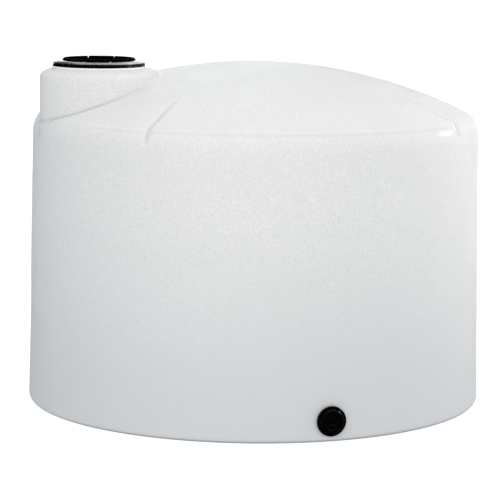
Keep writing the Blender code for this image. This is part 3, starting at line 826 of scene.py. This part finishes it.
def build_screws(material):
    corners = [
        (0, -SCREW_LENGTH, 0),
        (SCREW_SHANK_RADIUS * 0.4, -SCREW_LENGTH, 0),
        (SCREW_SHANK_RADIUS, -SCREW_LENGTH + 0.003, 0.001),
        (SCREW_SHANK_RADIUS, -SCREW_HEAD, 0.001),
        (SCREW_HEAD_RADIUS, -0.0005, 0.0002),
        (SCREW_HEAD_RADIUS - 0.0005, 0, 0.0003),
        (0, 0, 0),
    ]
    for number, middle in enumerate(screw_places(RING_TOP_Z), 1):
        place = Matrix.Translation(middle) @ Matrix.Rotation(radians(SCREW_TURN_DEG * number), 4, "Z")
        screw = lathed(f"screw_{number:02d}", corners, 32, place, False)
        for degrees in (0, 90):
            slot = bar(degrees, -RECESS_HALF_LENGTH, RECESS_HALF_LENGTH, RECESS_WIDTH, -RECESS_DEPTH, 0.001)
            combine(screw, "DIFFERENCE", slot, place)
        finish_piece(screw, material, "tank", [f"ring_screw_{number:02d}"])


def lug(middle):
    """One block of the lid's crown, as points and faces."""
    half = 180 / LUG_COUNT - np.degrees(LUG_SLOT / 2 / CROWN_TOP[0])
    low, high = CROWN_FOOT[1] - LUG_BURIED, CROWN_TOP[1]
    slope = (CROWN_FOOT[0] - CROWN_TOP[0]) / (high - CROWN_FOOT[1])
    foot = CROWN_FOOT[0] - LUG_INSET
    section = [(CROWN_INSIDE, low), (foot, low), (foot, CROWN_FOOT[1] + LUG_INSET / slope)]
    section += [(CROWN_TOP[0], high), (CROWN_INSIDE, high)]
    points = []
    for k in range(LUG_STEPS + 1):
        points += [around(r, middle + half * (2 * k / LUG_STEPS - 1), LID_Z + z) for r, z in section]
    faces = swept_faces(len(section), LUG_STEPS)
    return bevelled(points, faces, LUG_ROUNDING, LID_Z + CROWN_FOOT[1] - LUG_BURIED / 2)


def build_lid(material, grip):
    """The lid. Its crown and deck, inside the smooth rim, have the duller finish of a moulded grip."""
    skirt_foot = LID_LOW.z
    under_deck = LID_Z - LID_PLATE
    skirt_inside = SKIRT_RADIUS - SKIRT_THICKNESS
    edge = LID_Z + LID_EDGE
    corners = [
        (SKIRT_RADIUS, skirt_foot, 0.0015),
        (SKIRT_RADIUS, LID_Z, 0.0010),
        (LID_RADIUS, LID_Z, 0.0010),
        (LID_RADIUS, edge, 0.0016),
        (RIM[0], LID_Z + RIM[1], 0.0100),
        (CROWN_FOOT[0], LID_Z + CROWN_FOOT[1], 0.0012),
        (CROWN_INSIDE, LID_Z + CROWN_FOOT[1], 0.0012),
        (CROWN_INSIDE, LID_Z, 0.0030),
        (HUB_RADIUS, LID_Z, 0.0015),
        (HUB_RADIUS, LID_Z + HUB_HEIGHT, 0.0015),
        (VENT_HOLE_RADIUS, LID_Z + HUB_HEIGHT, 0.0006),
        (VENT_HOLE_RADIUS, under_deck, 0.0006),
        (skirt_inside, under_deck, 0.0030),
        (skirt_inside, skirt_foot, 0.0012),
    ]
    lid = lathed("lid_detail", corners, 256, None)
    middles = [LUG_PHASE_DEG + 360 * k / LUG_COUNT for k in range(LUG_COUNT)]
    combine(lid, "UNION", joined([lug(m) for m in middles]))
    inner, outer = HUB_RADIUS - RIB_BURIED, CROWN_INSIDE + RIB_BURIED
    low, high = LID_Z - RIB_BURIED, LID_Z + RIB_HEIGHT
    ribs = [bevelled(*bar(m, inner, outer, RIB_WIDTH, low, high), RIB_ROUNDING, LID_Z) for m in middles]
    combine(lid, "UNION", joined(ribs))
    combine(lid, "UNION", thread(SKIRT_RADIUS, 1, LID_Z - LID_THREAD_DROP))
    lid.data.transform(AT_MANWAY)
    finish_piece(lid, material, "lid", ["lid"])
    lid.data.materials.append(grip)
    for polygon in lid.data.polygons:
        off_axis = (polygon.center - MANWAY).xy.length
        if off_axis < CROWN_FOOT[0] - GRIP_MARGIN and polygon.center.z > LID_Z - GRIP_MARGIN:
            polygon.material_index = 1


def build_seal(material):
    outer = (SEAL_HIGH.x - SEAL_LOW.x) / 2
    inner = outer - SEAL_WIDTH
    corners = [(inner, SEAL_LOW.z, 0.0008), (outer, SEAL_LOW.z, 0.0008)]
    corners += [(outer, SEAL_HIGH.z, 0.0008), (inner, SEAL_HIGH.z, 0.0008)]
    seal = lathed("lid_seal_detail", corners, 160, AT_MANWAY)
    finish_piece(seal, material, "seal", ["lid_seal"])


def build_vent(material):
    radius = (VENT_HIGH.x - VENT_LOW.x) / 2
    cap_low = LID_Z + HUB_HEIGHT + GAP
    stem = VENT_HOLE_RADIUS - 0.0005
    corners = [
        (0, VENT_LOW.z, 0),
        (stem, VENT_LOW.z, 0.001),
        (stem, cap_low, 0.0005),
        (radius - 0.0015, cap_low, 0.0006),
        (radius, cap_low + 0.0012, 0.0006),
        (radius, VENT_HIGH.z - 0.0030, 0.0020),
        (radius - 0.0060, VENT_HIGH.z, 0.0040),
        (0.0150, VENT_HIGH.z, 0.0006),
        (0.0142, VENT_HIGH.z - 0.0010, 0.0006),
        (0, VENT_HIGH.z - 0.0010, 0),
    ]

    def fluted(at, z, angles):
        deep = VENT_FLUTE_DEPTH if at > radius - 0.0012 and z < VENT_HIGH.z - 0.001 else 0.0
        return at - deep * (0.5 + 0.5 * np.cos(np.radians(angles) * VENT_FLUTES)) ** 3

    vent = lathed("vent_cap_detail", corners, 192, AT_MANWAY, False, fluted)
    finish_piece(vent, material, "lid", ["vent_cap"])


# Outlet

def build_outlet_body(material):
    inside = WALL_Y - BODY_HIGH.y
    hub_top = WALL_Y - BODY_LOW.y
    flange_top = hub_top - HUB_LENGTH
    face = flange_top - FLANGE_THICKNESS
    corners = [
        (OUTLET_BARREL_RADIUS, inside, 0.0010),
        (OUTLET_BARREL_RADIUS, face, 0),
        (FLANGE_RADIUS, face, 0.0010),
        (FLANGE_RADIUS, flange_top, 0.0035),
        (OUTLET_HUB_RADIUS, flange_top, 0.0020),
        (OUTLET_HUB_RADIUS, hub_top, 0.0040),
        (OUTLET_BORE_RADIUS, hub_top, 0.0015),
        (OUTLET_BORE_RADIUS, inside, 0.0008),
    ]
    body = lathed("outlet_fitting", corners, 128, AT_OUTLET)
    finish_piece(body, material, "tank", ["outlet_body"])


def build_outlet_nut(material):
    low, high = WALL_Y - NUT_HIGH.y, WALL_Y - NUT_LOW.y
    nut_radius = (NUT_HIGH.x - NUT_LOW.x) / 2
    bore = OUTLET_BARREL_RADIUS + GAP
    corners = [(bore, low, 0.0008), (nut_radius, low, 0.0025)]
    corners += [(nut_radius, high, 0.0015), (bore, high, 0.0008)]
    step = 360 / NUT_FLATS

    def flats(radius, z, angles):
        off = np.radians((angles % step) - step / 2)
        return np.minimum(radius, nut_radius * NUT_FLAT_SHARE / np.cos(off))

    nut = lathed("outlet_backnut", corners, 96, AT_OUTLET, True, flats)
    finish_piece(nut, material, "tank", ["outlet_nut"])


def build_outlet_plug(material):
    low, high = WALL_Y - PLUG_HIGH.y, WALL_Y - PLUG_LOW.y
    radius = (PLUG_HIGH.x - PLUG_LOW.x) / 2
    corners = [(0, low, 0), (radius, low, 0.0020), (radius, high, 0.0018), (0, high, 0)]
    plug = lathed("outlet_plug_detail", corners, 96, AT_OUTLET, False)
    half = SOCKET_WIDTH / 2
    socket = bar(0, -half, half, SOCKET_WIDTH, high - SOCKET_DEPTH, high + REACH)
    combine(plug, "DIFFERENCE", bevelled(*socket, SOCKET_ROUNDING), AT_OUTLET)
    finish_piece(plug, material, "tank", ["outlet_plug"])


# Materials

class Graph:
    """A new material, with short calls for the nodes used here."""

    def __init__(self, name, colour, roughness, metallic=0.0):
        self.material = bpy.data.materials.new(name)
        self.material.use_nodes = True
        self.tree = self.material.node_tree
        self.surface({"Base Color": (*colour, 1), "Roughness": roughness, "Metallic": metallic})

    def feed(self, inputs, values):
        """Sets inputs to constants or links them to sockets."""
        for key, value in values.items():
            if isinstance(value, bpy.types.NodeSocket):
                self.tree.links.new(value, inputs[key])
            else:
                inputs[key].default_value = value

    def surface(self, values):
        self.feed(self.tree.nodes["Principled BSDF"].inputs, values)
        return self.material

    def node(self, kind, values, **settings):
        node = self.tree.nodes.new(kind)
        for key, value in settings.items():
            setattr(node, key, value)
        self.feed(node.inputs, values)
        return node

    @cached_property
    def place(self):
        return self.node("ShaderNodeTexCoord", {}).outputs["Object"]

    def noise(self, scale, detail=2.0, rough=0.5):
        values = {"Vector": self.place, "Scale": scale, "Detail": detail, "Roughness": rough}
        return self.node("ShaderNodeTexNoise", values).outputs["Fac"]

    def ranged(self, value, low, high, to_low, to_high):
        values = {"Value": value, "From Min": low, "From Max": high, "To Min": to_low, "To Max": to_high}
        return self.node("ShaderNodeMapRange", values, interpolation_type="SMOOTHSTEP").outputs["Result"]

    def mixed(self, share, first, second):
        """A colour between two, each a socket, a colour or a grey."""
        values = {"Factor": share}
        for key, colour in ((6, first), (7, second)):
            colour = (colour,) * 3 if isinstance(colour, float) else colour
            values[key] = (*colour, 1) if isinstance(colour, tuple) else colour
        return self.node("ShaderNodeMix", values, data_type="RGBA").outputs[2]

    def maths(self, operation, first, second=0.0):
        return self.node("ShaderNodeMath", {0: first, 1: second}, operation=operation).outputs[0]

    plus = partialmethod(maths, "ADD")
    minus = partialmethod(maths, "SUBTRACT")
    times = partialmethod(maths, "MULTIPLY")

    def length(self, across, up):
        return self.maths("SQRT", self.plus(self.times(across, across), self.times(up, up)))

    def distance(self, point):
        values = {0: self.place, 1: point}
        return self.node("ShaderNodeVectorMath", values, operation="DISTANCE").outputs["Value"]

    def from_axis(self, x):
        """Distance from the upright axis at this x."""
        values = {0: self.place, 1: (1, 1, 0), 2: (-x, 0, 0)}
        flat = self.node("ShaderNodeVectorMath", values, operation="MULTIPLY_ADD").outputs[0]
        return self.node("ShaderNodeVectorMath", {0: flat}, operation="LENGTH").outputs["Value"]

    def parts(self, vector):
        return self.node("ShaderNodeSeparateXYZ", {0: vector}).outputs

    def bump(self, height, distance, strength, **under):
        values = {"Height": height, "Distance": distance, "Strength": strength, **under}
        return self.node("ShaderNodeBump", values).outputs["Normal"]


def outside_profile(g, middle, z):
    """Distance outside the plain dome and shoulder."""
    dome = g.minus(g.distance((0, 0, SPHERE_Z)), SPHERE)
    shoulder = g.length(g.minus(middle, SHOULDER_CENTRE), g.minus(z, WALL_TOP_Z))
    shoulder = g.minus(shoulder, SHOULDER_FILLET)
    outer = g.maths("GREATER_THAN", middle, SHOULDER_CENTRE + SHOULDER_FILLET * cos(JOIN_ANGLE))
    return g.plus(dome, g.times(outer, g.minus(shoulder, dome)))


# Painted shade: darker along the middle of each groove in the dome
def painted_groove_shade(g, azimuth, middle, z):
    shifted = g.minus(azimuth, radians(GROOVE_SHIFT_DEG))
    off = g.minus(pi / 4, g.maths("PINGPONG", shifted, pi / 4))
    valley_shade = g.ranged(g.times(off, middle), 0.002, 0.011, 1, 0)
    valley_shade = g.times(valley_shade, g.ranged(middle, GROOVE_INNER_RADIUS, 0.900, 0, 1))
    return g.times(valley_shade, g.ranged(z, WALL_TOP_Z, WALL_TOP_Z + GROOVE_FOOT_RISE, 0, 1))


# Painted highlights: pale patches by the front right groove
def highlight_patches(g, azimuth, z):
    wear_and_highlight = 0.0
    for degrees, height, half_width, half_height in HIGHLIGHT_PATCHES:
        wide = g.times(g.minus(azimuth, radians(degrees)), 1 / radians(half_width))
        high = g.times(g.minus(z, height), 1 / half_height)
        wear_and_highlight = g.maths("MAXIMUM", wear_and_highlight, g.ranged(g.length(wide, high), 0.3, 1.0, 1, 0))
    return wear_and_highlight


def skin_shade_and_light(g):
    """Painted shade and painted light on the skin, from the lowest to the topmost: where each is, its strength
    and its colour.
    """
    x, y, z = g.parts(g.place)
    beside, middle = g.from_axis(MANWAY.x), g.from_axis(0.0)
    azimuth = g.maths("ARCTAN2", x, g.times(y, -1.0))
    # Painted shade in the crease where neck and tank meet, fading out towards the middle of the tank
    crease = g.length(g.minus(beside, NECK_RADIUS + CREASE_OFFSET), outside_profile(g, middle, z))
    crease = g.ranged(crease, CREASE_SHADE_HALF_WIDTH * 0.15, CREASE_SHADE_HALF_WIDTH, 1, 0)
    crease = g.times(crease, g.ranged(x, *[MANWAY.x + fade for fade in CREASE_SHADE_FADE_X], 1, 0))
    drop = g.minus(z, CONE_TOP[1])
    # Painted shade: a dark line in the crease between the cone and the collar
    line = g.ranged(g.length(g.minus(beside, CONE_TOP[0]), drop), 0.001, 0.005, 1, 0)
    # Painted light: the collar's wall under the lid made paler
    collar = g.times(g.ranged(drop, 0.0015, 0.004, 0, 1), g.maths("LESS_THAN", beside, CONE_TOP[0] + 0.003))
    on_tank = g.maths("GREATER_THAN", beside, NECK_RADIUS + 0.012)
    # Painted shade in a band just under the shoulder's step, weaker towards the left
    step_shade = g.times(g.ranged(z, STEP_Z - 0.028, STEP_Z - 0.003, 0, 1), on_tank)
    step_shade = g.times(step_shade, g.ranged(z, STEP_Z - 0.001, STEP_Z + 0.001, 1, 0))
    step_shade = g.times(step_shade, g.ranged(x, -0.80, -0.45, 0.3, 1))
    return (
        # painted shade along the dome grooves
        (painted_groove_shade(g, azimuth, middle, z), 0.50, (0.58, 0.59, 0.60)),
        # painted shade under the shoulder's step
        (step_shade, 0.55, (0.735, 0.735, 0.74)),
        # painted shade: darker and bluer towards the bottom of the tank
        (g.ranged(z, 0.0, 1.15, 1, 0), 0.85, (0.680, 0.695, 0.710)),
        # painted shade in the neck's crease
        (crease, 0.85, (0.46, 0.47, 0.48)),
        # painted light on the collar's wall
        (collar, 0.90, 0.97),
        # painted shade in the crease between cone and collar
        (line, 0.50, 0.60),
        # painted shade: a dark band round the foot where it meets the floor
        (g.ranged(z, 0.004, 0.016, 1, 0), 0.80, (0.30, 0.31, 0.32)),
        # painted highlights by the front right groove
        (highlight_patches(g, azimuth, z), 0.90, 0.97),
    )


def polyethylene():
    """Natural moulded polyethylene: milky, faintly blue, with a pebbled skin and a few specks, and painted
    shade and painted highlights.
    """
    g = Graph("moulded_polyethylene", (0.8, 0.82, 0.83), 0.45)
    colour = g.mixed(g.ranged(g.noise(1.6, 4.0, 0.55), 0.35, 0.65, 0, 1), 0.842, 0.872)
    mottled = g.ranged(g.noise(60.0, 3.0, 0.6), 0.3, 0.7, 0, 1)
    colour = g.mixed(g.times(mottled, 0.35), colour, 0.77)
    colour = g.mixed(g.ranged(g.noise(190.0, 1.0), 0.35, 0.65, 0, 0.9), colour, 0.735)
    for where, strength, tint in skin_shade_and_light(g):
        colour = g.mixed(g.times(where, strength), colour, tint)
    for degrees, z, radius in SPECKS:
        speck = g.ranged(g.distance(around(FOOT_RADIUS, degrees, z)), radius, radius + 0.006, 0.35, 0)
        colour = g.mixed(speck, colour, (0.45, 0.45, 0.44))
    pebbled = g.bump(g.noise(95.0), 0.0010, 0.60)
    return g.surface({
        "Base Color": colour,
        "Roughness": g.ranged(g.noise(7.0, 5.0, 0.65), 0.35, 0.7, 0.50, 0.66),
        "Normal": g.bump(g.noise(420.0), 0.0003, 0.25, Normal=pebbled),
        "Specular IOR Level": 0.08,
        "Subsurface Weight": 0.25,
        "Subsurface Radius": (0.9, 1.0, 1.1),
        "Subsurface Scale": 0.012,
    })


def black_polypropylene(name, specular, roughness):
    """Black mouldings with a fine grain and flow marks, and dust on level faces, smooth or as a dull grip."""
    g = Graph(name, (0.003, 0.003, 0.003), roughness[0])
    dusty = g.ranged(g.noise(14.0, 5.0, 0.65), 0.45, 0.75, 0, 0.5)
    colour = g.mixed(dusty, (0.0012, 0.0012, 0.0014), (0.0050, 0.0052, 0.0056))
    upward = g.parts(g.node("ShaderNodeNewGeometry", {}).outputs["Normal"])["Z"]
    settled = g.ranged(g.noise(45.0, 4.0, 0.6), 0.25, 0.75, 0.35, 1)
    settled = g.times(settled, g.ranged(upward, 0.80, 0.98, 0, 1))
    grain = g.bump(g.noise(900.0), 0.00006, 0.10)
    return g.surface({
        "Base Color": g.mixed(settled, colour, (0.032, 0.032, 0.033)),
        "Roughness": g.ranged(g.noise(22.0, 4.0, 0.6), 0.3, 0.7, *roughness),
        "Normal": g.bump(g.noise(40.0), 0.0006, 0.03, Normal=grain),
        "Specular IOR Level": specular,
    })


def weathered(name, plain, wear_scale, tints, finish, grain):
    """A material that wears from one tint and roughness to another, with a fine grain."""
    g = Graph(name, *plain)
    wear_and_highlight = g.ranged(g.noise(wear_scale, 4.0, 0.6), 0.35, 0.7, 0, 1)
    return g.surface({
        "Base Color": g.mixed(wear_and_highlight, *tints),
        "Roughness": g.ranged(wear_and_highlight, 0, 1, *finish),
        "Normal": g.bump(g.noise(grain[0]), *grain[1:]),
    })


# Floor, light and camera

def build_floor():
    """A white studio floor without a horizon, with a faint shadow where the tank stands."""
    points, faces = turned([(0, 0), *[(radius, 0) for radius in FLOOR_RADII]], 96, closed=False)
    floor = new_object("floor", points, faces, Matrix.Translation((0, 0, -FLOOR_DROP)))
    g = Graph("pale_floor", (0.45, 0.45, 0.45), 0.9)
    glow = {"Emission Color": (1.0, 1.0, 1.0, 1), "Emission Strength": FLOOR_GLOW}
    floor.data.materials.append(g.surface({"Specular IOR Level": 0.0, **glow}))
    floor.visible_diffuse = False
    floor.visible_glossy = False


def build_light():
    """Rectangular lights, which face their point from an azimuth, elevation and distance, and a soft sky."""
    scene = bpy.context.scene
    for name, middle, azimuth, elevation, distance, size, watts, tint, lights in LIGHTS:
        data = bpy.data.lights.new(name, "AREA")
        data.shape = "RECTANGLE"
        data.size, data.size_y = size
        data.energy = watts
        data.color = tint
        light = bpy.data.objects.new(name, data)
        level = cos(radians(elevation))
        away = Vector(around(distance * level, azimuth, distance * sin(radians(elevation))))
        light.location = middle + away
        light.rotation_euler = (-away).to_track_quat("-Z", "Y").to_euler()
        light.visible_glossy = lights == "reflections"
        light.visible_diffuse = lights == "surfaces"
        light.visible_camera = False
        scene.collection.objects.link(light)
    scene.world = bpy.data.worlds.new("studio")
    scene.world.use_nodes = True
    background = scene.world.node_tree.nodes["Background"]
    background.inputs["Color"].default_value = (*WORLD_TINT, 1)
    background.inputs["Strength"].default_value = WORLD_STRENGTH
    scene.world.cycles_visibility.glossy = False
    scene.view_settings.view_transform = "Standard"


def swung(first, second, angle):
    """Two axes turned about their third, the first towards the second."""
    cosine, sine = cos(angle), sin(angle)
    return first * cosine + second * sine, second * cosine - first * sine


def build_camera():
    data = bpy.data.cameras.new("photo_camera")
    data.sensor_width = SENSOR
    data.lens = FOCAL_PIXELS / PHOTO_PIXELS * SENSOR
    data.clip_end = CAMERA_REACH
    camera = bpy.data.objects.new("photo_camera", data)
    level = Vector(around(1.0, PHOTO_AZIMUTH, 0.0))
    forward, right, up = -level, Vector((-level.y, level.x, 0)), Vector((0, 0, 1))
    forward, right = swung(forward, right, CAMERA_YAW)
    up, forward = swung(up, forward, CAMERA_PITCH)
    right, up = swung(right, up, CAMERA_ROLL)
    turn = Matrix((right, up, -forward)).transposed().to_4x4()
    camera.matrix_world = Matrix.Translation(level * CAMERA_DISTANCE + Vector((0, 0, CAMERA_Z))) @ turn
    bpy.context.scene.collection.objects.link(camera)
    bpy.context.scene.camera = camera


def main():
    white = polyethylene()
    black = black_polypropylene("black_polypropylene", 0.45, (0.20, 0.32))
    rubber = weathered("black_rubber", *RUBBER)
    build_skin(white)
    build_ring(black)
    build_screws(weathered("stainless_steel", *STEEL))
    build_lid(black, black_polypropylene("black_grip", 0.0, (0.60, 0.80)))
    build_seal(rubber)
    build_vent(weathered("vent_plastic", *VENT))
    build_outlet_body(black)
    build_outlet_nut(black)
    build_outlet_plug(black)
    for name in ("ring_gasket", "outlet_gasket", "outlet_inner_gasket"):
        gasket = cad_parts[name].data
        gasket.materials.clear()
        gasket.materials.append(rubber)
    build_floor()
    build_light()
    build_camera()


main()
